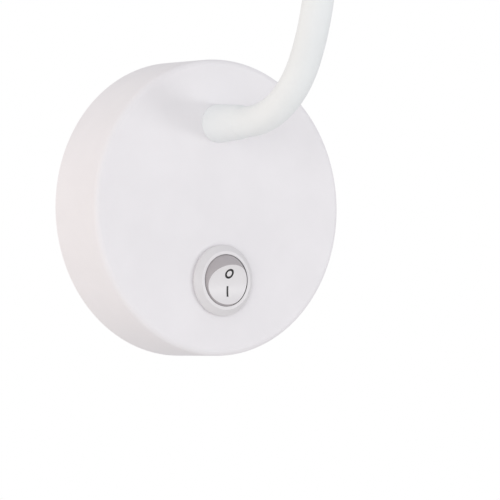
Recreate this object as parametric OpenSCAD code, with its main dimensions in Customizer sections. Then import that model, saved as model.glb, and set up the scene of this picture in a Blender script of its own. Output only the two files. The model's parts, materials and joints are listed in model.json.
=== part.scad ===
// Flexible wall lamp: a round wall base with a rocker switch, a silicone-covered
// flexible neck and a small LED spot head.
// The wall is the plane y = 0, the lamp stands out towards -Y, and +Z is up.

/* [Base] */
// Diameter of the round wall base
base_d = 100; // [94:1:130]
// Depth of the base, from the wall to its front face
base_depth = 24.6; // [24:0.2:36]
// Rounding of the base's front edge
base_edge_r = 2; // [0.5:0.1:4]
// Wall of the base cover
cover_wall = 1.5; // [1:0.1:2]
// Thickness of the steel mounting plate and its lugs
plate_t = 1.5; // [1:0.1:2]
// Gap between the mounting plate and the cover
plate_gap = 0.8; // [0.4:0.1:1.5]
// Width of the two lugs that hold the cover
lug_w = 12; // [9:0.5:16]
// Height of the lugs above the wall
lug_h = 11; // [10:0.5:16]

/* [Fixings] */
// Distance between the two wall screws
wall_screw_spacing = 68; // [62:1:72]
// Width of a wall screw slot
wall_slot_w = 4.6; // [3.6:0.1:6]
// Length of a wall screw slot
wall_slot_len = 11; // [7:0.5:13]
// Thread of a cover screw
cover_screw_d = 4; // [3:0.5:4]
// Length of a cover screw
cover_screw_len = 7; // [5:0.5:9]
// Height of the cover screws above the wall
cover_screw_z = 6.5; // [6:0.5:7]
// Bore of the cable bush
cable_bore = 9; // [6:0.5:10]
// Wall of the cable bush
bush_wall = 2.4; // [1.5:0.1:3]
// Height of the cable bush above the wall
bush_h = 5; // [4:0.5:6]

/* [Wiring] */
// Place of the terminal block, right of the base's centre
block_x = 22; // [21:0.5:24]
// Place of the terminal block, above the base's centre
block_y = 16.5; // [14:0.5:20]
// Width of the terminal block
block_w = 16; // [14:0.5:18]
// Length of the terminal block
block_l = 20; // [18:0.5:22]
// Height of the terminal block
block_h = 13; // [12:0.5:16]
// Spacing of the terminal block's two poles
pole_pitch = 10; // [9.5:0.5:11]
// Outside diameter of a brass terminal insert
pole_d = 5; // [4.4:0.1:5.2]
// Wire bore of a brass terminal insert
pole_bore = 3.2; // [2.4:0.1:3.6]
// Thread of the terminal screws and of the block's fixing screw
small_screw_d = 2.6; // [2:0.1:2.8]
// Place of the LED driver, left of the base's centre
driver_x = 25; // [24.5:0.5:26]
// Place of the LED driver, below the base's centre
driver_y = 15; // [13:0.5:17]
// Width of the LED driver
driver_w = 21; // [18:0.5:22]
// Length of the LED driver
driver_l = 22; // [18:0.5:24]
// Depth of the LED driver
driver_h = 15; // [12:0.5:16]
// Outside diameter of an insulated lead
lead_d = 1.8; // [1.2:0.1:2]

/* [Switch] */
// Distance of the switch below the base's centre
switch_drop = 24.6; // [23:0.2:26]
// Opening of the bezel round the rocker
rocker_hole_d = 17.8; // [17:0.1:19]
// Wall of the switch barrel
barrel_wall = 0.8; // [0.7:0.1:1.2]
// Depth of the switch barrel behind the base's front face
barrel_depth = 14; // [13.6:0.2:15]
// How far the bezel's flange reaches past the barrel
bezel_flange = 1.5; // [1.4:0.1:3]
// How far the bezel stands out from the base
bezel_h = 2.8; // [2.2:0.1:3.2]
// Gap between the ball-shaped rocker and the bezel's rim
rocker_gap = 0.4; // [0.3:0.05:0.9]
// Depth of the rocker's pivot below the bezel's rim
pivot_sink = 4.4; // [4:0.1:4.8]
// Height of the rocker's face over its pivot, at the middle
rocker_face_h = 4.9; // [4.2:0.1:5.4]
// Radius of the rocker's dished face
rocker_dish_r = 15.6; // [13:0.2:30]
// Wall of the moulded rocker
rocker_wall = 1.5; // [1.2:0.1:1.8]
// Tilt of the rocker to each side of its middle, in degrees
rocker_tilt = 12; // [6:0.5:12]
// Diameter of the rocker's pivot pins
pin_d = 3; // [2:0.1:3.4]
// Diameter of the spring-loaded plunger
plunger_d = 2.4; // [2:0.1:2.8]
// Reach of the plunger's tip from the pivot
plunger_reach = 8.55; // [8.2:0.05:8.8]
// Thickness of the see-saw contact lever
lever_t = 0.5; // [0.4:0.05:0.7]
// Length of the see-saw contact lever
lever_l = 12; // [11:0.5:13]
// Tilt of the contact lever to each side, in degrees
lever_tilt = 5.5; // [4:0.5:6]
// Width of a switch terminal
tab_w = 4.8; // [4:0.2:6.3]
// Thickness of a switch terminal
tab_t = 0.8; // [0.5:0.1:1]
// Length of the terminals behind the barrel
tab_len = 6.6; // [5:0.2:7]

/* [Neck] */
// Height of the neck over the base's centre
neck_rise = 28.3; // [26:0.1:32]
// Outside diameter of the silicone sleeve
sleeve_d = 10.4; // [10:0.1:12]
// Wall of the silicone sleeve
sleeve_wall = 1.4; // [1:0.1:1.6]
// Wall of the steel core
core_wall = 1.1; // [0.6:0.1:1.3]
// Straight length of the neck at each end
neck_end = 17.5; // [16:0.1:24]
// Length of each flexing stretch
stretch_len = 40; // [34:1:60]
// Gap between two core lengths, where the neck flexes
flex_gap = 2.4; // [2:0.1:4]
// Outside diameter of the tapered collars, at their thick end
collar_d = 13; // [12.6:0.1:15]
// Wall of the collars at their thin end
collar_lip = 0.35; // [0.25:0.05:0.8]
// Length of the collars
collar_len = 15.2; // [14:0.1:16]
// Length of the end fittings inside the collars
fitting_len = 12.2; // [10:0.1:13]
// Thread of the end fittings
thread_d = 10; // [9:0.5:10]
// Length of the thread behind each wall
thread_len = 10.5; // [9:0.5:12]

/* [Bends] */
// Bend of the first stretch, upwards, in degrees
bend_1 = 59.6; // [-80:0.2:80]
// Bend of the second stretch, upwards, in degrees
bend_2 = 29.4; // [-80:0.2:80]
// Bend of the third stretch, upwards, in degrees
bend_3 = -4; // [-80:0.2:80]
// Bend of the fourth stretch, upwards, in degrees
bend_4 = -26; // [-80:0.2:80]
// Bend of the fifth stretch, upwards, in degrees
bend_5 = -34; // [-80:0.2:80]
// Bend of the sixth stretch, upwards, in degrees
bend_6 = -34; // [-80:0.2:80]
// Bend of the seventh stretch, upwards, in degrees
bend_7 = -20; // [-80:0.2:80]

/* [Head] */
// Diameter of the lamp head
head_d = 32; // [30:0.5:44]
// Length of the head's shell
shell_len = 73; // [60:1:110]
// Wall of the head's shell
shell_wall = 1.6; // [1.2:0.1:2.2]
// Rounding of the shell's rear shoulder
shoulder_r = 6; // [3:0.5:7]
// Length of the front ring beyond the shell
ring_len = 3.8; // [2.5:0.1:6]
// Thickness of the heat sink's front disc
sink_t = 5; // [4:0.5:8]
// Length of the heat sink's fins
fin_len = 10; // [6:0.5:16]
// Thickness of a heat sink fin
fin_t = 1.4; // [1:0.1:1.8]
// Spacing of the heat sink's fins
fin_pitch = 4; // [3.4:0.1:5]
// Diameter of the LED board
board_d = 20; // [19:0.5:22]
// Thickness of the LED board
board_t = 1.6; // [1:0.1:2]
// Size of the square LED
led_size = 5; // [3.5:0.1:6]
// Height of the lens
lens_h = 10; // [9:0.5:10.5]
// Thickness of the lens flange
flange_t = 1.5; // [1:0.1:2]
// Height of the lens spacer
spacer_h = 11.4; // [11:0.2:14]

/* [Hidden] */
$fn = 96;
stretches = 7;
bends = [bend_1, bend_2, bend_3, bend_4, bend_5, bend_6, bend_7];

// Clearances: seated faces and threads, sliding parts, and faces that move past each other
seat_gap = 0.05;
slip = 0.1;
run_gap = 0.15;
// Overshoot of a cut past the face that it opens
cut = 1;

// Base: heights are measured from the wall
base_r = base_d / 2;
cover_r = base_r - cover_wall;
front_z = base_depth - cover_wall;
cover_inner_edge = max(base_edge_r - cover_wall, seat_gap);
plate_r = cover_r - plate_gap;
lug_y = sqrt(cover_r * cover_r - lug_w * lug_w / 4) - plate_t - 2 * slip;
lug_root = 10;
screw_head_r = 0.85 * cover_screw_d;
recess_w = 0.8;
recess_h = 1.2;
bush_r = cable_bore / 2 + bush_wall;
bush_rim = 2;

// Wiring
corner_r = 2;
pole_y = [block_y - pole_pitch / 2, block_y + pole_pitch / 2];
pole_z = plate_t + block_h / 2;
pole_screw_x = block_w / 4;
pole_recess = 1;
small_screw_r = small_screw_d / 2;
small_head_r = 0.75 * small_screw_d;
small_head_h = 1.6;
lid_h = 1.5;
lid_inset = 0.5;
driver_z = front_z - driver_h;
driver_right = -driver_x + driver_w / 2;
driver_top = -driver_y + driver_l / 2;
lead_r = lead_d / 2;
twin_gap = lead_d + 2 * slip;
lead_sides = 8;
lead_rings = 20;
lead_grip = 6;
// Places where the leads enter the driver: along its top, over its back, and up its side
feed_x = [5, -1, -5];
feed_z = 3;
feed_side = 5;
// Straight end of a lead, square to what it meets
stub = 1;
// How far a lead keeps its direction in the curve: from a terminal, into the driver, from the fitting
pull_short = 5;
pull = 10;
pull_long = 24;
pull_back = [4, 12];
tab_lead_z = 1.5;

// Switch: places across it are measured from its own centre
rim_r = rocker_hole_d / 2;
ball_r = norm([rim_r - rocker_gap, pivot_sink]);
bore_r = ball_r + run_gap;
barrel_r = bore_r + barrel_wall;
barrel_z = base_depth - barrel_depth;
floor_t = 1.2;
bezel_r = barrel_r + bezel_flange;
bezel_edge_r = 0.8;
rim_w = 1;
lip_h = 1.6;
rim_z = base_depth + bezel_h;
wing_w = 5;
wing_h = 5;
wing_out = 1.3;
wing_root = 0.3;
pivot_z = rim_z - pivot_sink;
rocker_r = (rim_r - rocker_gap) * cos(rocker_tilt) + pivot_sink * sin(rocker_tilt);
rocker_back = 2.2;
boss_wall = 1.1;
boss_r = plunger_d / 2 + boss_wall;
boss_back = 5.8;
plunger_len = 4.8;
plunger_back = plunger_reach - plunger_len;
spring_len = 4;
spring_turns = 5;
spring_wire_r = 0.17;
spring_sides = 6;
spring_rings = 8;
lever_w = 3.6;
lever_z = pivot_z - plunger_reach - run_gap - lever_t / 2;
button_r = 1.3;
button_h = 0.5;
contact_y = lever_l / 2 - button_r - slip;
fulcrum_top = lever_z - lever_t / 2 - slip;
contact_top = fulcrum_top - button_h - (contact_y + tab_t / 2) * tan(lever_tilt);
tab_z = barrel_z - tab_len;
tab_hole_r = 0.8;
tab_hole_z = tab_len / 2;

// Neck
sleeve_r = sleeve_d / 2;
sleeve_bore = sleeve_r - sleeve_wall;
core_r = sleeve_bore - slip;
core_bore = core_r - core_wall;
socket_r = sleeve_r - 2 * slip;
socket_floor = 3;
collar_r = collar_d / 2;
collar_bore = sleeve_r + slip;
fitting_rim_r = (collar_r + sleeve_r) / 2;
fitting_rim_t = 2;
thread_r = thread_d / 2 - seat_gap;
hole_r = thread_d / 2 + slip;
washer_t = 0.8;
washer_rim = 3.4;
washer_r = hole_r + washer_rim;
nut_h = 5;
nut_flats = 14;
core_half = (stretch_len - flex_gap) / 2;
// A bend below this many degrees counts as straight
straight = 0.01;

// Head: lengths are measured forward from the shell's rear face
head_r = head_d / 2;
shell_r = head_r - shell_wall;
ring_sink = 1;
ring_seat = shell_len - ring_sink;
ring_chamfer = 0.8;
ring_flare = 1.2;
lens_front = ring_seat - seat_gap;
flange_z = lens_front - flange_t;
sink_front = flange_z - spacer_h;
sink_r = shell_r - seat_gap;
fin_inset = 1;
fin_r = sink_r - fin_inset;
fin_pairs = floor((fin_r - fin_t) / fin_pitch);
skirt_t = 0.55;
skirt_len = 4;
spacer_r = sink_r - skirt_t - slip;
spacer_wall = 0.8;
flange_r = spacer_r - spacer_wall / 2;
lens_r = spacer_r - spacer_wall - 2 * slip;
lens_foot_r = 4;
lens_eye_r = 2.4;
lens_eye_h = 4;
board_front = sink_front + board_t;
led_t = 0.6;
dome_r = 1.7;
board_screw_inset = 2.5;
board_screw_x = board_d / 2 - board_screw_inset;
board_screw_r = 1.25;
board_head_r = 2.1;
board_head_h = 1.4;
wire_way_inset = 2;
wire_way_y = wire_way_inset - board_d / 2;
wire_way_r = twin_gap / 2 + lead_r + 3 * slip;

// Frames

// Wall frame: x right, y up, z out from the wall
module wall() rotate([90, 0, 0]) children();

// Neck plane: x out from the wall, y up
module neck_plane() rotate([90, 0, -90]) children();

// Heading of the neck in its plane after k stretches, and the place there
function heading(k) = k == 0 ? 0 : heading(k - 1) + bends[k - 1];
function step(h, b) = abs(b) < straight
    ? stretch_len * [cos(h), sin(h)]
    : bow_r(stretch_len, b) * [sin(h + b) - sin(h), cos(h) - cos(h + b)];
function place(k) = k == 0
    ? [base_depth + neck_end, neck_rise]
    : place(k - 1) + step(heading(k - 1), bends[k - 1]);

// End of stretch k and start of the next, with x along the neck and y up
module after_stretch(k) neck_plane() translate(place(k)) rotate([0, 0, heading(k)]) children();

// The wall that holds each end of the neck, with z pointing out along the neck
module at_base() wall() translate([0, neck_rise, base_depth]) children();
module at_head() in_head() rotate([180, 0, 0]) children();

// Head frame: on the shell's rear face, with z pointing forward
module in_head() after_stretch(stretches) translate([neck_end, 0, 0]) rotate([0, 90, 0]) children();

module at_switch() wall() translate([0, -switch_drop, 0]) children();
module at_rocker() at_switch() translate([0, 0, pivot_z]) rotate([rocker_tilt, 0, 0]) children();
module at_block() wall() translate([block_x, block_y, plate_t]) children();

// A cover screw's frame, with z pointing in from the base's rim
module at_cover_screws() for (s = [0, 180]) rotate([0, 0, s])
    translate([0, base_r, cover_screw_z]) rotate([90, 0, 0]) children();

// Shapes that repeat

module ring(outer, inner) difference() {
    circle(outer);
    circle(inner);
}

module tube(outer, inner, h) linear_extrude(h) ring(outer, inner);

module twin() for (s = [-1, 1]) translate([0, s * twin_gap / 2]) circle(lead_r);

// Half outline of a round cup with a rounded closed end
module cup_outline(r, h, edge) {
    square([r - edge, h]);
    square([r, h - edge]);
    translate([r - edge, h - edge]) circle(edge);
}

module rounded_rect(w, l, r) {
    square([w - 2 * r, l], center = true);
    square([w, l - 2 * r], center = true);
    for (x = [-1, 1], y = [-1, 1]) translate([x * (w / 2 - r), y * (l / 2 - r)]) circle(r);
}

module slot(w, l) {
    square([l - w, w], center = true);
    for (s = [-1, 1]) translate([s * (l - w) / 2, 0]) circle(w / 2);
}

// A section, given as a child, along length l that bends by b; a negative length runs backwards
function bow_r(l, b) = l * 180 / PI / b;
module bow(l, b = 0) rotate([b < 0 ? 180 : 0, l < 0 ? 180 : 0, 0])
    if (abs(b) < straight)
        rotate([90, 0, 90]) linear_extrude(abs(l)) children();
    else {
        r = bow_r(abs(l), abs(b));
        translate([0, r, 0]) rotate([0, 0, -90])
            rotate_extrude(angle = abs(b)) translate([r, 0]) children();
    }

// One tube of round section through the points; across is a direction that the tube never takes
function unit(v) = v / norm(v);
module sweep(p, r, sides, across) {
    n = len(p);
    along = [for (i = [0:n - 1]) unit(p[min(i + 1, n - 1)] - p[max(i - 1, 0)])];
    sections = [for (i = [0:n - 1], j = [0:sides - 1])
        let (u = unit(cross(along[i], across)), v = cross(along[i], u), a = 360 * j / sides)
        p[i] + r * (cos(a) * u + sin(a) * v)];
    walls = [for (i = [0:n - 2], j = [0:sides - 1])
        let (a = i * sides + j, b = i * sides + (j + 1) % sides)
        each [[a, a + sides, b + sides], [a, b + sides, b]]];
    first = [for (j = [1:sides - 2]) [0, j, j + 1]];
    last = [for (j = [1:sides - 2]) [for (q = [0, j + 1, j]) (n - 1) * sides + q]];
    polyhedron(sections, concat(walls, first, last));
}

// Points of a curve with four control points
function curve_at(p, t) = pow(1 - t, 3) * p[0] + 3 * t * pow(1 - t, 2) * p[1]
    + 3 * t * t * (1 - t) * p[2] + pow(t, 3) * p[3];
function curve(p) = [for (i = [0:lead_rings]) curve_at(p, i / lead_rings)];

// A lead between two ends, each given as its place, the way the lead leaves it, its straight length
// and how far the curve then keeps that way
function leaving(end, pull) = end[0] + (end[2] + pull) * end[1];
module lead(a, b, across) sweep(concat([a[0]],
    curve([leaving(a, 0), leaving(a, a[3]), leaving(b, b[3]), leaving(b, 0)]), [b[0]]),
    lead_r, lead_sides, across);

// Base

module base_cover() color("white") wall() difference() {
    rotate_extrude() difference() {
        cup_outline(base_r, base_depth, base_edge_r);
        translate([0, -cut]) cup_outline(cover_r, front_z + cut, cover_inner_edge);
    }
    translate([0, -switch_drop, front_z - cut]) cylinder(r = barrel_r + slip, h = cover_wall + 2 * cut);
    translate([0, neck_rise, front_z - cut]) cylinder(r = hole_r, h = cover_wall + 2 * cut);
    at_cover_screws() {
        cylinder(r = cover_screw_d / 2 + slip, h = cover_screw_len);
        screw_cone(slip);
    }
}

module screw_cone(extra) translate([0, 0, -cut])
    cylinder(r1 = screw_head_r + cut + extra, r2 = cover_screw_d / 2 + extra,
        h = screw_head_r + cut - cover_screw_d / 2);

module cover_screws() color("silver") wall() at_cover_screws() difference() {
    intersection() {
        union() {
            cylinder(r = cover_screw_d / 2, h = cover_screw_len);
            screw_cone(0);
        }
        translate([0, 0, run_gap]) cylinder(r = base_r, h = cover_screw_len);
    }
    for (a = [0, 90]) rotate([0, 0, a]) cube([cover_screw_d, recess_w, 2 * recess_h], center = true);
}

module mounting_plate() color("gainsboro") wall() difference() {
    union() {
        cylinder(r = plate_r, h = plate_t);
        for (s = [0, 180]) rotate([0, 0, s]) translate([-lug_w / 2, lug_y, 0]) {
            translate([0, -lug_root, 0]) cube([lug_w, lug_root + plate_t, plate_t]);
            cube([lug_w, plate_t, lug_h]);
        }
    }
    at_cover_screws() cylinder(r = cover_screw_d / 2 + seat_gap, h = cover_screw_len + cut);
    for (s = [-1, 1]) translate([s * wall_screw_spacing / 2, 0, -cut])
        linear_extrude(plate_t + 2 * cut) slot(wall_slot_w, wall_slot_len);
    translate([0, 0, -cut]) cylinder(r = bush_r + seat_gap, h = plate_t + 2 * cut);
    translate([block_x, block_y, -cut]) cylinder(r = small_screw_r + seat_gap, h = plate_t + 2 * cut);
}

module cable_bush() color("dimgray") wall() rotate_extrude() difference() {
    union() {
        square([bush_r, bush_h]);
        translate([0, plate_t]) square([bush_r + bush_rim, bush_rim]);
    }
    translate([0, -cut]) square([cable_bore / 2, bush_h + 2 * cut]);
}

// Terminal block

module at_poles() for (s = [-1, 1]) translate([0, s * pole_pitch / 2, block_h / 2]) children();
module at_pole_screws() at_poles() for (s = [-1, 1]) translate([s * pole_screw_x, 0, 0]) children();

module terminal_block() color("whitesmoke") at_block() difference() {
    linear_extrude(block_h) rounded_rect(block_w, block_l, corner_r);
    at_poles() rotate([0, 90, 0]) cylinder(r = pole_d / 2 + seat_gap, h = block_w + 2 * cut, center = true);
    at_pole_screws() cylinder(r = small_screw_r + slip, h = block_h);
    translate([0, 0, -cut]) cylinder(r = small_screw_r + slip, h = block_h);
    translate([0, 0, block_h / 2]) cylinder(r = small_head_r + slip, h = block_h);
}

module terminal_inserts() color("goldenrod") at_block() difference() {
    at_poles() translate([pole_recess - block_w / 2, 0, 0]) rotate([0, 90, 0])
        tube(pole_d / 2, pole_bore / 2, block_w - 2 * pole_recess);
    at_pole_screws() cylinder(r = small_screw_r + seat_gap, h = pole_d);
}

module terminal_screws() color("silver") at_block() at_pole_screws() difference() {
    translate([0, 0, lead_r + slip]) cylinder(r = small_screw_r, h = block_h / 2 - lead_r - pole_recess);
    translate([0, 0, block_h / 2 - pole_recess])
        cube([small_screw_d + cut, recess_w, 2 * recess_w], center = true);
}

module block_screw() color("silver") at_block() difference() {
    union() {
        translate([0, 0, slip - plate_t]) cylinder(r = small_screw_r, h = block_h / 2 + plate_t);
        translate([0, 0, block_h / 2]) cylinder(r = small_head_r, h = small_head_h);
    }
    translate([0, 0, block_h / 2 + small_head_h]) cube([block_w, recess_w, 2 * recess_w], center = true);
}

// Driver and leads

module led_driver() color("whitesmoke") wall() translate([-driver_x, -driver_y, driver_z]) {
    translate([0, 0, lid_h]) linear_extrude(driver_h - lid_h) rounded_rect(driver_w, driver_l, corner_r);
    linear_extrude(lid_h) rounded_rect(driver_w - 2 * lid_inset, driver_l - 2 * lid_inset, corner_r);
}

module live_lead() color("saddlebrown") wall() {
    from = [block_x - block_w / 2 + lead_grip, pole_y[0], pole_z];
    to = [tab_w / 2, contact_y - switch_drop, tab_z + tab_lead_z];
    lead([from, [-1, 0, 0], lead_grip, pull], [to, [1, 0, 0], stub, pull], [0, 0, 1]);
}

module switched_lead() color("saddlebrown") wall() {
    from = [-tab_w / 2, -switch_drop, tab_z + tab_lead_z];
    to = [driver_right, feed_side - switch_drop, driver_z + feed_z];
    lead([from, [-1, 0, 0], stub, pull_short], [to, [1, 0, 0], stub, pull_short], [0, 1, 0]);
}

module neutral_lead() color("steelblue") wall() {
    from = [block_x - block_w / 2 + lead_grip, pole_y[1], pole_z];
    to = [feed_x[0] - driver_x, driver_top, driver_z + feed_z];
    lead([from, [-1, 0, 0], lead_grip, pull_long], [to, [0, 1, 0], stub, pull_long], [0, 0, 1]);
}

module output_lead() for (i = [0, 1]) color(i == 0 ? "dimgray" : "firebrick") wall() {
    from = [(1 - 2 * i) * twin_gap / 2, neck_rise, base_depth - thread_len - seat_gap];
    to = [feed_x[1 + i] - driver_x, driver_top, driver_z + (1 + i) * feed_z];
    lead([from, [0, 0, -1], stub, pull_back[1 - i]], [to, [0, 1, 0], stub, pull_long], [1, -1, 1]);
}

// Switch

// Half outline of the bezel: a flat rim, and a cone that runs into the rounded outer edge
function touch(p, c, r) = let (d = c - p, a = atan2(d[1], d[0]) + asin(r / norm(d)))
    p + sqrt(d * d - r * r) * [cos(a), sin(a)];
module bezel_outline() {
    edge = [bezel_r - bezel_edge_r, bezel_edge_r];
    rim = [rim_r + rim_w, bezel_h];
    polygon([[0, 0], [edge[0], 0], edge, touch(rim, edge, bezel_edge_r), rim, [0, bezel_h]]);
    translate(edge) circle(bezel_edge_r);
}

module switch_housing() color("white") at_switch() difference() {
    union() {
        translate([0, 0, base_depth]) rotate_extrude() bezel_outline();
        translate([0, 0, barrel_z]) cylinder(r = barrel_r, h = barrel_depth);
        for (s = [0, 180]) rotate([0, 0, s]) translate([0, wing_w / 2, front_z - slip]) rotate([90, 0, 0])
            linear_extrude(wing_w) polygon([
                [barrel_r - wing_root, 0], [barrel_r + wing_out, 0], [barrel_r - wing_root, -wing_h]]);
    }
    rotate_extrude() polygon([
        [0, barrel_z - cut], [bore_r, barrel_z - cut], [bore_r, rim_z - lip_h], [rim_r, rim_z],
        [rim_r, rim_z + cut], [0, rim_z + cut]]);
    translate([0, 0, pivot_z]) rotate([0, 90, 0])
        cylinder(r = pin_d / 2 + seat_gap, h = 2 * barrel_r, center = true);
}

// Floor of the switch, set into the barrel from behind
module switch_base() color("whitesmoke") at_switch() translate([0, 0, barrel_z]) difference() {
    cylinder(r = bore_r - seat_gap, h = floor_t);
    for (y = [0, contact_y]) translate([0, y, 0])
        cube([tab_w + 2 * seat_gap, tab_t + 2 * seat_gap, 3 * floor_t], center = true);
}

module switch_terminals() color("goldenrod") at_switch()
    for (t = [[0, fulcrum_top], [contact_y, contact_top]]) translate([0, t[0], tab_z]) difference() {
        translate([-tab_w / 2, -tab_t / 2, 0]) cube([tab_w, tab_t, t[1] - tab_z]);
        translate([0, 0, tab_hole_z]) rotate([90, 0, 0])
            cylinder(r = tab_hole_r, h = tab_t + cut, center = true);
    }

module contact_lever() color("darkgoldenrod") at_switch() translate([0, 0, lever_z])
    rotate([-lever_tilt, 0, 0]) {
        cube([lever_w, lever_l, lever_t], center = true);
        translate([0, contact_y, -lever_t / 2 - button_h])
            cylinder(r = button_r, h = button_h + lever_t / 2);
    }

module rocker() color("white") at_rocker() {
    difference() {
        intersection() {
            translate([0, 0, -rocker_back]) cylinder(r = rocker_r, h = rocker_back + ball_r);
            sphere(r = ball_r);
        }
        translate([0, 0, rocker_face_h + rocker_dish_r]) rotate([0, 90, 0])
            cylinder(r = rocker_dish_r, h = 2 * rocker_r + cut, center = true);
        translate([0, 0, -rocker_back - cut])
            cylinder(r = rocker_r - rocker_wall, h = rocker_back + cut + rocker_face_h - rocker_wall);
    }
    difference() {
        translate([0, 0, -boss_back]) cylinder(r = boss_r, h = boss_back + rocker_face_h - rocker_wall);
        translate([0, 0, -boss_back - cut])
            cylinder(r = plunger_d / 2 + slip, h = boss_back + cut - plunger_back + spring_len + slip);
    }
    for (s = [-1, 1]) rotate([0, s * 90, 0]) translate([0, 0, rocker_r - rocker_wall])
        cylinder(r = pin_d / 2, h = barrel_r - run_gap - rocker_r + rocker_wall);
}

module rocker_plunger() color("ivory") at_rocker() translate([0, 0, plunger_d / 2 - plunger_reach]) {
    cylinder(r = plunger_d / 2, h = plunger_len - plunger_d / 2);
    sphere(r = plunger_d / 2);
}

module rocker_spring() color("silver") at_rocker() {
    coil_r = plunger_d / 2 - spring_wire_r - seat_gap;
    steps = spring_turns * spring_rings;
    rise = spring_len - 2 * spring_wire_r - 2 * seat_gap;
    foot = seat_gap + spring_wire_r - plunger_back;
    coil = [for (i = [0:steps])
        let (a = 360 * i / spring_rings)
        [coil_r * cos(a), coil_r * sin(a), foot + rise * i / steps]];
    sweep(coil, spring_wire_r, spring_sides, [0, 0, 1]);
}

// Neck

// End fitting of the neck: thread behind the wall, rim on it, and a socket for the core
module fitting() difference() {
    union() {
        translate([0, 0, -thread_len]) cylinder(r = thread_r, h = thread_len);
        cylinder(r = fitting_rim_r, h = fitting_rim_t);
        cylinder(r = socket_r, h = fitting_len);
    }
    translate([0, 0, socket_floor]) cylinder(r = core_r + seat_gap, h = fitting_len);
    translate([0, 0, -thread_len - cut]) cylinder(r = core_bore, h = thread_len + fitting_len);
}

module washer(wall_t) translate([0, 0, -wall_t - washer_t]) tube(washer_r, hole_r, washer_t);

module nut(wall_t) translate([0, 0, -wall_t - washer_t - nut_h]) difference() {
    cylinder(r = nut_flats / sqrt(3), h = nut_h, $fn = 6);
    translate([0, 0, -cut]) cylinder(r = thread_d / 2, h = nut_h + 2 * cut);
}

module collar() rotate_extrude() polygon([
    [fitting_rim_r + slip, 0], [collar_r, 0],
    [collar_bore + collar_lip, collar_len], [collar_bore, collar_len],
    [collar_bore, fitting_rim_t + slip], [fitting_rim_r + slip, fitting_rim_t + slip]]);

module neck_fitting() color("silver") at_base() fitting();
module neck_washer() color("silver") at_base() washer(cover_wall);
module neck_nut() color("silver") at_base() nut(cover_wall);
module neck_collar() color("white") at_base() collar();

// Core length k runs from the middle of one stretch to the middle of the next
module neck_core(k) color("lightslategray") after_stretch(k) {
    if (k == 0) bow(socket_floor + seat_gap - neck_end) ring(core_r, core_bore);
    else bow(-core_half, bends[k - 1] * core_half / stretch_len) ring(core_r, core_bore);
    if (k == stretches) bow(neck_end - socket_floor - seat_gap) ring(core_r, core_bore);
    else bow(core_half, bends[k] * core_half / stretch_len) ring(core_r, core_bore);
}

// A section along stretch k, lengthened by the given length at the neck's two ends
module along_stretch(k, end_len) {
    after_stretch(k < stretches ? k - 1 : k) {
        bow(k < stretches ? stretch_len : -stretch_len, bends[k - 1]) children();
        if (k == 1) bow(-end_len) children();
        if (k == stretches) bow(end_len) children();
    }
}

module neck_sleeve(k) color("white")
    along_stretch(k, neck_end - fitting_len - seat_gap) ring(sleeve_r, sleeve_bore);
module neck_lead(k) color("dimgray") along_stretch(k, neck_end + thread_len) twin();

// Head

module head_fitting() color("silver") at_head() fitting();
module head_washer() color("silver") at_head() washer(shell_wall);
module head_nut() color("silver") at_head() nut(shell_wall);
module head_collar() color("white") at_head() collar();

module head_shell() color("white") in_head() rotate_extrude() difference() {
    translate([0, shell_len]) mirror([0, 1]) cup_outline(head_r, shell_len, shoulder_r);
    translate([0, shell_len + cut]) mirror([0, 1])
        cup_outline(shell_r, shell_len + cut - shell_wall, shoulder_r - shell_wall);
    translate([0, -cut]) square([hole_r, shell_wall + 2 * cut]);
}

module head_lead() color("dimgray") in_head() for (s = [-1, 1]) translate([s * twin_gap / 2, 0, 0]) {
    from = [0, 0, thread_len + seat_gap];
    to = [0, wire_way_y, board_front];
    lead([from, [0, 0, 1], stub, pull], [to, [0, 0, -1], board_t + sink_t + fin_len, pull], [1, 0, 0]);
}

module wire_way() translate([0, wire_way_y, 0]) cylinder(r = wire_way_r, h = shell_len);
module at_board_screws() for (s = [-1, 1]) translate([s * board_screw_x, 0, 0]) children();

module heat_sink() color("silver") in_head() difference() {
    union() {
        translate([0, 0, sink_front - sink_t]) cylinder(r = sink_r, h = sink_t);
        intersection() {
            translate([0, 0, sink_front - sink_t - fin_len]) cylinder(r = fin_r, h = fin_len + sink_t / 2);
            for (i = [-fin_pairs:fin_pairs]) translate([i * fin_pitch - fin_t / 2, -fin_r, 0])
                cube([fin_t, 2 * fin_r, sink_front]);
        }
    }
    wire_way();
    at_board_screws() translate([0, 0, sink_front - sink_t])
        cylinder(r = board_screw_r + seat_gap, h = sink_t + cut);
}

module led_board() color("seashell") in_head() difference() {
    translate([0, 0, sink_front]) cylinder(r = board_d / 2, h = board_t);
    wire_way();
    translate([-wire_way_r, -board_d, sink_front - cut])
        cube([2 * wire_way_r, board_d + wire_way_y, board_t + 2 * cut]);
    at_board_screws() translate([0, 0, sink_front - cut])
        cylinder(r = board_screw_r + slip, h = board_t + 2 * cut);
}

module board_screws() color("silver") in_head() at_board_screws() difference() {
    union() {
        translate([0, 0, sink_front - sink_t + slip]) cylinder(r = board_screw_r, h = sink_t + board_t);
        translate([0, 0, board_front]) cylinder(r = board_head_r, h = board_head_h);
    }
    translate([0, 0, board_front + board_head_h])
        cube([2 * board_head_r + cut, recess_w, board_head_h], center = true);
}

module led() color("khaki") in_head() translate([0, 0, board_front]) {
    translate([-led_size / 2, -led_size / 2, 0]) cube([led_size, led_size, led_t]);
    intersection() {
        translate([0, 0, led_t]) sphere(r = dome_r);
        cylinder(r = dome_r, h = led_t + dome_r);
    }
}

module lens_spacer() color("white") in_head() translate([0, 0, sink_front])
    tube(spacer_r, spacer_r - spacer_wall, spacer_h);

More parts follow.
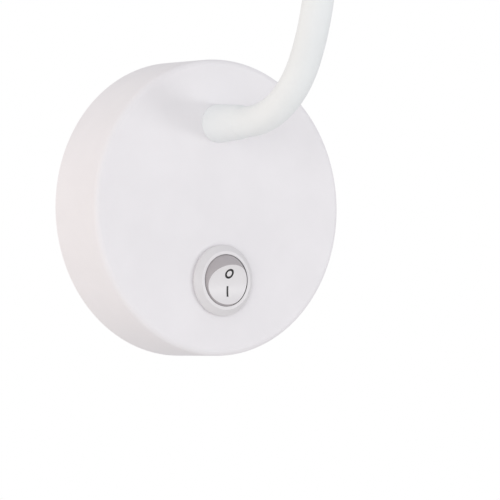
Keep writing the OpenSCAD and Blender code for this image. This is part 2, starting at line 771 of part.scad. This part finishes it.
module lens() color("azure") in_head() rotate_extrude() polygon([
    [0, lens_front], [flange_r, lens_front], [flange_r, flange_z], [lens_r, flange_z],
    [lens_foot_r, lens_front - lens_h], [lens_eye_r, lens_front - lens_h],
    [lens_eye_r, lens_front - lens_h + lens_eye_h], [0, lens_front - lens_h + lens_eye_h]]);

module front_ring() color("white") in_head() rotate_extrude() polygon([
    [lens_r, ring_seat], [sink_r - skirt_t, ring_seat], [sink_r - skirt_t, ring_seat - skirt_len],
    [sink_r, ring_seat - skirt_len], [sink_r, shell_len + slip], [head_r, shell_len + slip],
    [head_r, shell_len + ring_len - ring_chamfer], [head_r - ring_chamfer, shell_len + ring_len],
    [lens_r + ring_flare, shell_len + ring_len]]);

base_cover();
mounting_plate();
cover_screws();
cable_bush();
terminal_block();
terminal_inserts();
terminal_screws();
block_screw();
led_driver();
live_lead();
switched_lead();
neutral_lead();
output_lead();
switch_housing();
switch_base();
switch_terminals();
contact_lever();
rocker();
rocker_plunger();
rocker_spring();
neck_fitting();
neck_washer();
neck_nut();
neck_collar();
for (k = [0:stretches]) neck_core(k);
for (k = [1:stretches]) neck_sleeve(k);
for (k = [1:stretches]) neck_lead(k);
head_fitting();
head_washer();
head_nut();
head_collar();
head_shell();
head_lead();
heat_sink();
led_board();
board_screws();
led();
lens_spacer();
lens();
front_ring();
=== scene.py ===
import json
import math

import bmesh
import bpy
from mathutils import Matrix, Vector


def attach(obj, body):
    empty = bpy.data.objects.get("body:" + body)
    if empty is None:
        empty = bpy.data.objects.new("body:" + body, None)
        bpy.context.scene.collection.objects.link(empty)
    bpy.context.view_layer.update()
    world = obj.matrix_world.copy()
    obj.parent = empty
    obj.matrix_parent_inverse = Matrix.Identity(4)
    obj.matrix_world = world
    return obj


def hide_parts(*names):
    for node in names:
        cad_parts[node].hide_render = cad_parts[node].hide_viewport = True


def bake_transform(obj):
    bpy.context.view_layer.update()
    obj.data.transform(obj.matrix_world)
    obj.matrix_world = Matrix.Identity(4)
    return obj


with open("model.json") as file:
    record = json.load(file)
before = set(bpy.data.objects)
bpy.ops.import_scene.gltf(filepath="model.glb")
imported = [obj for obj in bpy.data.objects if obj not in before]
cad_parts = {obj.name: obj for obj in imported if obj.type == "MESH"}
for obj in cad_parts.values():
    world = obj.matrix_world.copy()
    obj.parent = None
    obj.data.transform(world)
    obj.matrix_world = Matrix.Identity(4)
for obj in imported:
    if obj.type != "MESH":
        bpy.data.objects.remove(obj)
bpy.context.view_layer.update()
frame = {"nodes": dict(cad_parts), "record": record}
record = frame["record"]
scene = bpy.context.scene

# Sizes in millimetres, measured as on the part: x right, up, and out from the wall
MM = 0.001
BASE_DEPTH = 24.6
NECK_RISE = 28.3
NECK_END = 17.5
STRETCH_LEN = 40
BENDS = [59.6, 29.4, -4, -26, -34, -34, -20]
SLEEVE_R = 5.2
SLEEVE_BORE = 3.8
SLEEVE_START = 12.25
LEAD_R = 0.9
LEAD_SPACING = 2
THREAD_LEN = 10.5
COLLAR_LEN = 15.2
COLLAR_BORE = 5.3

SWITCH_DROP = 24.6
PIVOT_OUT = 23
PIVOT_SINK = 4.4
RIM_R = 8.9
ROCKER_GAP = 0.4
ROCKER_BALL_R = math.hypot(RIM_R - ROCKER_GAP, PIVOT_SINK)
ROCKER_TILT = 12
ROCKER_FACE_H = 4.9
ROCKER_DISH_R = 15.6

# Camera, matched to the photograph's frame: angles in degrees, lengths in millimetres
IMAGE_PX = 500
FOCAL_PX = 4580
SENSOR = 36
CAMERA_AZIMUTH = 35.46
CAMERA_RISE = 0.108
CAMERA_ROLL = 1.384
CAMERA_DISTANCE = 1566.2
CAMERA_TARGET = (21.06, -12.0, -14.52)
CAMERA_REACH = 100000

# Stage: the floor's depth below the part and its side, and the light from all round
FLOOR_DROP = 300
FLOOR_SIZE = 2400
SKY_TINT = "#fcfcff"
SKY_STRENGTH = 0.75
# Soft boxes: name, place, target, side, power in watts, tint
SOFT_BOXES = [
    ("key", (1050, -1400, -430), (0, -20, 0), 750, 9.5, "#ffffff"),
    ("front", (-1300, -900, 0), (0, -20, 0), 900, 5, "#ffffff"),
    ("fill", (-1450, 450, 80), (-40, -20, 0), 1800, 4.1, "#ffd4a1"),
]

# Meshes: angles in degrees, distances in millimetres
SHARP_ANGLE = 40
EASE_ANGLE = 30
EASE_STEPS = 3
FLAT_ANGLE = 0.2
MERGE_GAP = 0.0005
NECK_SIDES = 72
NECK_STEPS = 32
LEAD_SIDES = 16
MARK_SIDES = 64
MARK_STEPS = 12

# Materials: the usual size of drifting patches, where a drift between two tones starts and ends, and how
# finely drift and grain break up
DRIFT_PATCH = 18
DRIFT_ENDS = (0.35, 0.65)
DRIFT_DETAIL = 3
GRAIN_DETAIL = 2


def linear(hex_colour):
    """An sRGB hex value as linear RGBA."""
    parts = [int(hex_colour[i:i + 2], 16) / 255 for i in (1, 3, 5)]
    return [c / 12.92 if c <= 0.04045 else ((c + 0.055) / 1.055) ** 2.4 for c in parts] + [1.0]


def add(tree, kind, **inputs):
    """Adds one shader node. An input, named with _ for a space, is a value or another node's socket."""
    node = tree.nodes.new("ShaderNode" + kind)
    for name, value in inputs.items():
        socket = node.inputs[name.replace("_", " ")]
        if isinstance(value, bpy.types.NodeSocket):
            tree.links.new(value, socket)
        else:
            socket.default_value = value
    return node


def finish_of(name, colours, rough, grain, depth, patch=DRIFT_PATCH, **shader):
    """A material whose colour drifts between two tones and whose surface has a fine grain.

    rough is its lowest and highest roughness; grain and depth give the grain's size and height in
    millimetres, and patch the size of the drifting patches."""
    material = bpy.data.materials.new(name)
    material.use_nodes = True
    tree = material.node_tree
    surface = tree.nodes["Principled BSDF"]
    place = add(tree, "TexCoord").outputs["Object"]
    drift = add(tree, "TexNoise", Vector=place, Scale=1 / (patch * MM),
                Detail=DRIFT_DETAIL).outputs["Fac"]
    tones = add(tree, "ValToRGB", Fac=drift)
    for stop, where, colour in zip(tones.color_ramp.elements, DRIFT_ENDS, colours):
        stop.position = where
        stop.color = linear(colour)
    tree.links.new(tones.outputs["Color"], surface.inputs["Base Color"])
    fine = add(tree, "TexNoise", Vector=place, Scale=1 / (grain * MM),
               Detail=GRAIN_DETAIL).outputs["Fac"]
    gloss = add(tree, "MapRange", Value=fine, To_Min=rough[0], To_Max=rough[1])
    tree.links.new(gloss.outputs["Result"], surface.inputs["Roughness"])
    bump = add(tree, "Bump", Height=fine, Strength=1.0, Distance=depth * MM)
    tree.links.new(bump.outputs["Normal"], surface.inputs["Normal"])
    for socket, value in shader.items():
        surface.inputs[socket.replace("_", " ")].default_value = value
    return material


# Powder coat on steel and aluminium: matt white with a fine orange-peel grain
powder_coat = finish_of("powder_coat_white", ("#eeecee", "#f1eff1"), (0.42, 0.6), 0.45, 0.012, IOR=1.5)
# Silicone rubber, extruded: soft, matt and slightly waxy
silicone = finish_of("silicone_white", ("#edf0f0", "#f0f3f3"), (0.5, 0.62), 0.9, 0.008, IOR=1.41)
# ABS, moulded in a spark-eroded tool: satin, with a very fine even grain
abs_white = finish_of("abs_moulded_white", ("#e5e3e4", "#e9e7e8"), (0.3, 0.42), 0.25, 0.006, IOR=1.54)
# The same ABS on the bezel's slope, with a slightly coarser grain; its colour is a shade greyer as
# painted shade, for the weaker light on the slope
painted_shade_slope = finish_of("abs_slope_painted_shade", ("#dedcdd", "#e2e0e1"), (0.35, 0.48), 0.3, 0.01, IOR=1.54)
# The same ABS on the rocker's rubbing flank, duller and with a coarser grain; its grey colour is painted
# shade, for the flank standing in shade
painted_shade_flank = finish_of("abs_flank_painted_shade", ("#afaaac", "#b5b0b2"), (0.45, 0.55), 0.3, 0.012, IOR=1.54)
# Pad-printed ink: near black, thin and satin
ink = finish_of("pad_printed_ink", ("#121214", "#1a1a1c"), (0.35, 0.5), 0.2, 0.004, patch=2.0)
# Zinc-plated steel: pale grey with cloudy patches
zinc = finish_of("zinc_plated_steel", ("#9ea2a6", "#b9bcbf"), (0.28, 0.45), 0.6, 0.006, patch=6.0,
                 Metallic=1.0)
# Gooseneck steel, wound: darker than the plated pieces, with an oily shine
core_steel = finish_of("gooseneck_steel", ("#7c8085", "#8f9397"), (0.3, 0.5), 0.5, 0.01, patch=5.0,
                       Metallic=1.0)
# Brass, turned and stamped: bright yellow with soft glints
brass = finish_of("bright_brass", ("#c9a24a", "#d8b765"), (0.22, 0.38), 0.4, 0.004, patch=4.0,
                  Metallic=1.0)
# Rubber, moulded: dark grey and dull
rubber = finish_of("grey_rubber", ("#3b3b3d", "#464648"), (0.65, 0.8), 0.4, 0.02, patch=5.0)
# PVC insulation, extruded: smooth with a dull shine, in the usual wiring colours
brown_pvc = finish_of("brown_pvc", ("#6b3f22", "#7a4a29"), (0.35, 0.45), 0.3, 0.004, patch=5.0)
blue_pvc = finish_of("blue_pvc", ("#2e5da8", "#376bb9"), (0.35, 0.45), 0.3, 0.004, patch=5.0)
grey_pvc = finish_of("dark_grey_pvc", ("#37383a", "#424446"), (0.35, 0.45), 0.3, 0.004, patch=5.0)
# Aluminium, turned and clear anodised: pale grey with a silky shine
aluminium = finish_of("anodised_aluminium", ("#c4c6c8", "#d2d4d6"), (0.3, 0.42), 0.3, 0.005, patch=8.0,
                      Metallic=1.0)
# Solder mask on the LED board: warm white with a smooth, slightly glossy skin
solder_mask = finish_of("white_solder_mask", ("#ecebe5", "#f3f2ee"), (0.3, 0.4), 0.3, 0.004, patch=5.0)
# LED phosphor under clear silicone: strong yellow with a wet gloss
phosphor = finish_of("led_phosphor", ("#e9c64a", "#f0d468"), (0.2, 0.3), 0.2, 0.003, patch=2.0)
# Acrylic, moulded in a polished tool: clear as water, with sharp reflections
acrylic = finish_of("clear_acrylic", ("#f7fbfc", "#ffffff"), (0.02, 0.06), 0.5, 0.001, IOR=1.49,
                    Transmission_Weight=1.0)

SLOT_FINISH = {
    "white_paint": powder_coat, "white_plastic": abs_white, "silicone": silicone, "zinc_steel": zinc,
    "core_steel": core_steel, "brass": brass, "grey_rubber": rubber, "brown_lead": brown_pvc,
    "blue_lead": blue_pvc, "grey_lead": grey_pvc, "heat_sink": aluminium, "board": solder_mask,
    "phosphor": phosphor, "lens": acrylic,
}
NODE_SLOT = {part["node"]: part["material_slot"] for part in record["subparts"]}
NODE_BODY = {node: body for body, nodes in record["behaviour"]["bodies"].items() for node in nodes}

for node, obj in frame["nodes"].items():
    obj.data.materials.clear()
    obj.data.materials.append(SLOT_FINISH[NODE_SLOT[node]])


def piece(name, bm, material):
    """Makes an object of a finished mesh, smooth apart from its sharp edges."""
    mesh = bpy.data.meshes.new(name)
    bm.to_mesh(mesh)
    bm.free()
    mesh.shade_smooth()
    mesh.set_sharp_from_angle(angle=math.radians(SHARP_ANGLE))
    mesh.materials.append(material)
    obj = bpy.data.objects.new(name, mesh)
    scene.collection.objects.link(obj)
    return obj


def stand_for(node):
    """The piece takes the node's place."""
    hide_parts(node)


def ease(bm, width):
    """Rounds a mesh's sharp edges to a small radius, in millimetres."""
    limit = math.radians(EASE_ANGLE)
    sharp = [e for e in bm.edges if len(e.link_faces) == 2 and e.calc_face_angle() > limit]
    bmesh.ops.bevel(bm, geom=sharp, offset=width * MM, affect="EDGES", segments=EASE_STEPS, profile=0.5,
                    material=-1, clamp_overlap=True)


def eased_mesh(node, width):
    """A copy of a rigid piece's mesh with its sharp edges eased."""
    bm = bmesh.new()
    bm.from_mesh(frame["nodes"][node].data)
    bmesh.ops.remove_doubles(bm, verts=bm.verts, dist=MERGE_GAP * MM)
    bmesh.ops.dissolve_limit(bm, angle_limit=math.radians(FLAT_ANGLE), verts=bm.verts, edges=bm.edges)
    ease(bm, width)
    return bm


def eased_piece(node, bm):
    """Puts the eased mesh in the rigid piece's place."""
    obj = piece(node + "_eased", bm, SLOT_FINISH[NODE_SLOT[node]])
    obj.modifiers.new("flat_faces", "WEIGHTED_NORMAL").keep_sharp = True
    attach(obj, NODE_BODY[node])
    stand_for(node)
    return obj


# Neck

def neck_stations():
    """Place (out, up) and heading at the start of each stretch and at the end of the last."""
    at, heading = Vector((BASE_DEPTH + NECK_END, NECK_RISE)), 0.0
    stations = [(at.copy(), heading)]
    for bend in map(math.radians, BENDS):
        turn = STRETCH_LEN / bend
        end = heading + bend
        at += turn * Vector((math.sin(end) - math.sin(heading), math.cos(heading) - math.cos(end)))
        heading = end
        stations.append((at.copy(), heading))
    return stations


STATIONS = neck_stations()


def station_matrix(k):
    """Frame at station k: x across the neck, y towards the inside of an upward bend, z along it."""
    (out, up), heading = STATIONS[k]
    across = Vector((1, 0, 0))
    along = Vector((0, -math.cos(heading), math.sin(heading)))
    lift = along.cross(across)
    turned = Matrix((across, lift, along)).transposed().to_4x4()
    return Matrix.Translation(Vector((0, -out, up)) * MM) @ turned


def edges_of(geom):
    return [g for g in geom if isinstance(g, bmesh.types.BMEdge)]


def straight_on(bm, ring, shift):
    """Lengthens a round wall from its open end by a shift; gives the new end ring."""
    grown = bmesh.ops.extrude_edge_only(bm, edges=ring)["geom"]
    ring = [e for e in edges_of(grown) if len(e.link_faces) == 1]
    bmesh.ops.translate(bm, vec=shift, verts=list({v for e in ring for v in e.verts}))
    return ring


def neck_wall(bm, k, radius, side, before, after, sides):
    """One round wall along stretch k, with straight lengths before and after; gives its end rings."""
    matrix = station_matrix(k - 1)
    along, lift = matrix.col[2].xyz, matrix.col[1].xyz
    start = matrix @ Matrix.Translation(Vector((side, 0, -before)) * MM)
    verts = bmesh.ops.create_circle(bm, segments=sides, radius=radius * MM, matrix=start)["verts"]
    first = list({e for v in verts for e in v.link_edges})
    last = first
    if before:
        last = straight_on(bm, last, along * before * MM)
    bend = math.radians(BENDS[k - 1])
    centre = matrix.translation + lift * (STRETCH_LEN / bend) * MM
    spun = bmesh.ops.spin(bm, geom=last, cent=centre, axis=(-1, 0, 0), angle=bend, steps=NECK_STEPS,
                          use_merge=False)
    last = edges_of(spun["geom_last"])
    if after:
        last = straight_on(bm, last, station_matrix(k).col[2].xyz * after * MM)
    return first, last


def bend_with_neck(obj):
    """Bakes the piece's placing into its mesh."""
    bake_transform(obj)


def neck_sleeve(k):
    """Silicone sleeve along stretch k."""
    bm = bmesh.new()
    lap = NECK_END - SLEEVE_START
    lengths = (lap if k == 1 else 0, lap if k == len(BENDS) else 0)
    outer = neck_wall(bm, k, SLEEVE_R, 0, *lengths, NECK_SIDES)
    inner = neck_wall(bm, k, SLEEVE_BORE, 0, *lengths, NECK_SIDES)
    for outer_ring, inner_ring in zip(outer, inner):
        bmesh.ops.bridge_loops(bm, edges=outer_ring + inner_ring)
    bmesh.ops.recalc_face_normals(bm, faces=bm.faces)
    obj = piece(f"silicone_sleeve_{k}", bm, silicone)
    bend_with_neck(obj)
    stand_for(f"neck_sleeve_{k}")


def neck_lead(k):
    """Twin lead along stretch k."""
    bm = bmesh.new()
    tail = NECK_END + THREAD_LEN
    lengths = (tail if k == 1 else 0, tail if k == len(BENDS) else 0)
    for side in (-LEAD_SPACING / 2, LEAD_SPACING / 2):
        for ring in neck_wall(bm, k, LEAD_R, side, *lengths, LEAD_SIDES):
            bmesh.ops.edgeloop_fill(bm, edges=ring)
    bmesh.ops.recalc_face_normals(bm, faces=bm.faces)
    obj = piece(f"twin_lead_{k}", bm, grey_pvc)
    bend_with_neck(obj)
    stand_for(f"neck_lead_{k}")


for k in range(1, len(BENDS) + 1):
    neck_sleeve(k)
    neck_lead(k)

# Rigid pieces with eased edges, and the width of the easing
EASED = {
    "base_cover": 0.25, "head_shell": 0.2, "front_ring": 0.2, "lens": 0.1, "mounting_plate": 0.15,
    "cover_screws": 0.08,
}
for node, width in EASED.items():
    eased_piece(node, eased_mesh(node, width))

# Collars: their outline, and how their thin end runs out onto the sleeve
COLLAR_R = 6.5
COLLAR_LIP = 0.35
COLLAR_SEAT_R = 5.95
COLLAR_SEAT_H = 2.1
COLLAR_EASE = 0.15
COLLAR_FEATHER = 0.2
FEATHER_START = 13.5
SLEEVE_GRIP = 0.02


def collar(node, matrix):
    """A collar turned about the neck's line, its thin end feathered out onto the sleeve."""
    lip_r = COLLAR_BORE + COLLAR_LIP
    start_r = COLLAR_R + (lip_r - COLLAR_R) * FEATHER_START / COLLAR_LEN
    outline = [(COLLAR_SEAT_R, 0), (COLLAR_R, 0), (start_r, FEATHER_START), (lip_r, COLLAR_LEN),
               (COLLAR_BORE, COLLAR_LEN), (COLLAR_BORE, COLLAR_SEAT_H), (COLLAR_SEAT_R, COLLAR_SEAT_H)]
    bm = bmesh.new()
    verts = [bm.verts.new(Vector((radius, 0, height)) * MM) for radius, height in outline]
    edges = [bm.edges.new(ends) for ends in zip(verts, verts[1:] + verts[:1])]
    bmesh.ops.spin(bm, geom=verts + edges, cent=(0, 0, 0), axis=(0, 0, 1), angle=2 * math.pi,
                   steps=NECK_SIDES, use_merge=True)
    bmesh.ops.recalc_face_normals(bm, faces=bm.faces)
    ease(bm, COLLAR_EASE)
    for v in bm.verts:
        on_thin_end = COLLAR_LEN - v.co.z / MM < 2 * COLLAR_EASE
        if on_thin_end:
            radius = v.co.xy.length / MM
            v.co.xy *= (SLEEVE_R - SLEEVE_GRIP + COLLAR_FEATHER * (radius - COLLAR_BORE)) / radius
    bmesh.ops.transform(bm, matrix=matrix, verts=bm.verts)
    eased_piece(node, bm)


# Places of the collars' thick ends in the neck's frames at its two ends
TO_WALL = Matrix.Translation((0, 0, -NECK_END * MM))
TO_HEAD = Matrix.Translation((0, 0, NECK_END * MM)) @ Matrix.Rotation(math.pi, 4, "X")
collar("neck_collar", station_matrix(0) @ TO_WALL)
collar("head_collar", station_matrix(len(BENDS)) @ TO_HEAD)

# Switch
HOUSING_EASE = 0.1
LIP_REACH = 0.1
RIM_FACING = 0.95
ROCKER_EASE = 0.25
# How the rocker's visible form departs from its ball shape above the skirt: how far its face is raised,
# the shares by which face and flanks are drawn in or swell, and the heights that they run between
FACE_RAISE = 0.4
FACE_DRAW = 0.955
FLANK_SWELL = 1.016
FLANK_LEAN = 0.975
ROCKER_SKIRT = 2.4
ROCKER_EDGE_H = 6.55
# Which faces are the flank that gets the painted shade: how near to the ball they lie, and how squarely
# they face out from the pivot
FLANK_NEAR = 0.35
FLANK_FACING = 0.94
ROCKER_FRAME = (Matrix.Translation(Vector((0, -PIVOT_OUT, -SWITCH_DROP)) * MM)
                @ Matrix.Rotation(math.radians(90 + ROCKER_TILT), 4, "X"))


def switch_housing():
    """The switch housing, with its lip a little closer to the rocker and painted shade (a greyer colour)
    on its slope.
    """
    bm = eased_mesh("switch_housing", HOUSING_EASE)
    for v in bm.verts:
        out = Vector((v.co.x, v.co.z + SWITCH_DROP * MM))
        if abs(out.length - RIM_R * MM) < LIP_REACH * MM:
            out *= 1 - LIP_REACH / RIM_R
            v.co.x, v.co.z = out.x, out.y - SWITCH_DROP * MM
    obj = eased_piece("switch_housing", bm)
    obj.data.materials.append(painted_shade_slope)
    # Slope faces, outside the base and turned away from the front, take the painted shade
    for face in obj.data.polygons:
        if face.center.y < -BASE_DEPTH * MM and -face.normal.y < RIM_FACING:
            face.material_index = 1


def shaped(local):
    """Raises and draws in the rocker's face, and brings its upper and lower flanks closer to the rim."""
    over_skirt = local.z / MM - ROCKER_SKIRT
    if over_skirt > 0:
        to_face = min(1, over_skirt / (ROCKER_FACE_H - ROCKER_SKIRT))
        to_edge = over_skirt / (ROCKER_EDGE_H - ROCKER_SKIRT)
        local.x *= 1 + to_face * (FACE_DRAW - 1)
        local.y *= FLANK_SWELL + to_edge * (FLANK_LEAN - FLANK_SWELL)
        local.z += to_face * FACE_RAISE * MM
    return local


def rocker():
    """The rocker, with painted shade on its ball-shaped flank: a greyer, duller finish than its face."""
    bm = eased_mesh("rocker", ROCKER_EASE)
    to_rocker = ROCKER_FRAME.inverted()
    for v in bm.verts:
        v.co = ROCKER_FRAME @ shaped(to_rocker @ v.co)
    obj = eased_piece("rocker", bm)
    obj.data.materials.append(painted_shade_flank)
    for face in obj.data.polygons:
        # Flank faces take the grey painted shade
        out = face.center - ROCKER_FRAME.translation
        on_flank = abs(out.length - ROCKER_BALL_R * MM) < FLANK_NEAR * MM
        if on_flank and out.normalized().dot(face.normal) > FLANK_FACING:
            face.material_index = 1


switch_housing()
rocker()

# Marks printed on the rocker
MARK_O_UP = 3.55
MARK_O_R = 1.8
MARK_O_STROKE = 0.74
MARK_I_UP = -2.65
MARK_I_LEN = 3.6
INK_H = 0.03


def print_on_rocker(name, bm):
    """Lays a flat mark, drawn in the plane of the rocker's face, onto the dished face."""
    raised = bmesh.ops.extrude_face_region(bm, geom=bm.faces[:])["geom"]
    top = [g for g in raised if isinstance(g, bmesh.types.BMVert)]
    bmesh.ops.translate(bm, vec=(0, 0, INK_H), verts=top)
    for v in bm.verts:
        v.co.z += ROCKER_FACE_H + ROCKER_DISH_R - math.sqrt(ROCKER_DISH_R ** 2 - v.co.y ** 2)
    bmesh.ops.recalc_face_normals(bm, faces=bm.faces)
    bmesh.ops.scale(bm, vec=(MM, MM, MM), verts=bm.verts)
    for v in bm.verts:
        v.co = ROCKER_FRAME @ shaped(v.co)
    obj = piece(name, bm, ink)
    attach(obj, "rocker")


def off_mark():
    """The ring printed on the upper half."""
    bm = bmesh.new()
    loops = []
    for radius in (MARK_O_R, MARK_O_R - MARK_O_STROKE):
        verts = bmesh.ops.create_circle(bm, segments=MARK_SIDES, radius=radius,
                                        matrix=Matrix.Translation((0, MARK_O_UP, 0)))["verts"]
        loops += list({e for v in verts for e in v.link_edges})
    bmesh.ops.bridge_loops(bm, edges=loops)
    print_on_rocker("off_mark", bm)


def on_mark():
    """The bar printed on the lower half."""
    bm = bmesh.new()
    stroke = Matrix.Translation((0, MARK_I_UP, 0)) @ Matrix.Diagonal((MARK_O_STROKE, MARK_I_LEN, 1, 1))
    bmesh.ops.create_grid(bm, x_segments=1, y_segments=MARK_STEPS, size=0.5, matrix=stroke)
    print_on_rocker("on_mark", bm)


off_mark()
on_mark()


# Stage: floor, light and camera

def floor():
    """A plain pale floor below the part."""
    bm = bmesh.new()
    bmesh.ops.create_grid(bm, x_segments=1, y_segments=1, size=FLOOR_SIZE / 2 * MM,
                          matrix=Matrix.Translation((0, 0, -FLOOR_DROP * MM)))
    pale = finish_of("pale_floor", ("#f2f1f0", "#f6f5f4"), (0.6, 0.7), 4.0, 0.05, patch=200.0)
    piece("floor", bm, pale)


def sky():
    """White all round for the camera, and a softer white as light."""
    world = bpy.data.worlds.new("studio")
    scene.world = world
    world.use_nodes = True
    tree = world.node_tree
    tree.nodes.clear()
    seen = add(tree, "Background", Color=(1, 1, 1, 1), Strength=1.0)
    light = add(tree, "Background", Color=linear(SKY_TINT), Strength=SKY_STRENGTH)
    path = add(tree, "LightPath")
    mix = add(tree, "MixShader", Fac=path.outputs["Is Camera Ray"])
    tree.links.new(light.outputs[0], mix.inputs[1])
    tree.links.new(seen.outputs[0], mix.inputs[2])
    output = add(tree, "OutputWorld")
    tree.links.new(mix.outputs[0], output.inputs["Surface"])


def soft_box(name, place, target, side, power, tint):
    """A square area light."""
    light = bpy.data.lights.new(name, "AREA")
    light.size = side * MM
    light.energy = power
    light.color = linear(tint)[:3]
    obj = bpy.data.objects.new(name, light)
    obj.location = Vector(place) * MM
    obj.rotation_euler = (Vector(target) - Vector(place)).to_track_quat("-Z", "Y").to_euler()
    scene.collection.objects.link(obj)


def camera():
    """The camera at the photograph's viewing angle."""
    data = bpy.data.cameras.new("camera")
    data.sensor_width = SENSOR
    data.lens = FOCAL_PX / IMAGE_PX * SENSOR
    data.clip_end = CAMERA_REACH * MM
    azimuth, rise, roll = map(math.radians, (CAMERA_AZIMUTH, CAMERA_RISE, CAMERA_ROLL))
    level = Vector((math.sin(azimuth), math.cos(azimuth), 0))
    forward = level * math.cos(rise) + Vector((0, 0, math.sin(rise)))
    right = forward.cross(Vector((0, 0, 1))).normalized()
    right = Matrix.Rotation(roll, 3, forward) @ right
    up = right.cross(forward)
    obj = bpy.data.objects.new("camera", data)
    turned = Matrix((right, up, -forward)).transposed().to_4x4()
    place = Vector(CAMERA_TARGET) - forward * CAMERA_DISTANCE
    obj.matrix_world = Matrix.Translation(place * MM) @ turned
    scene.collection.objects.link(obj)
    scene.camera = obj


floor()
sky()
for box in SOFT_BOXES:
    soft_box(*box)
camera()
scene.view_settings.view_transform = "Standard"
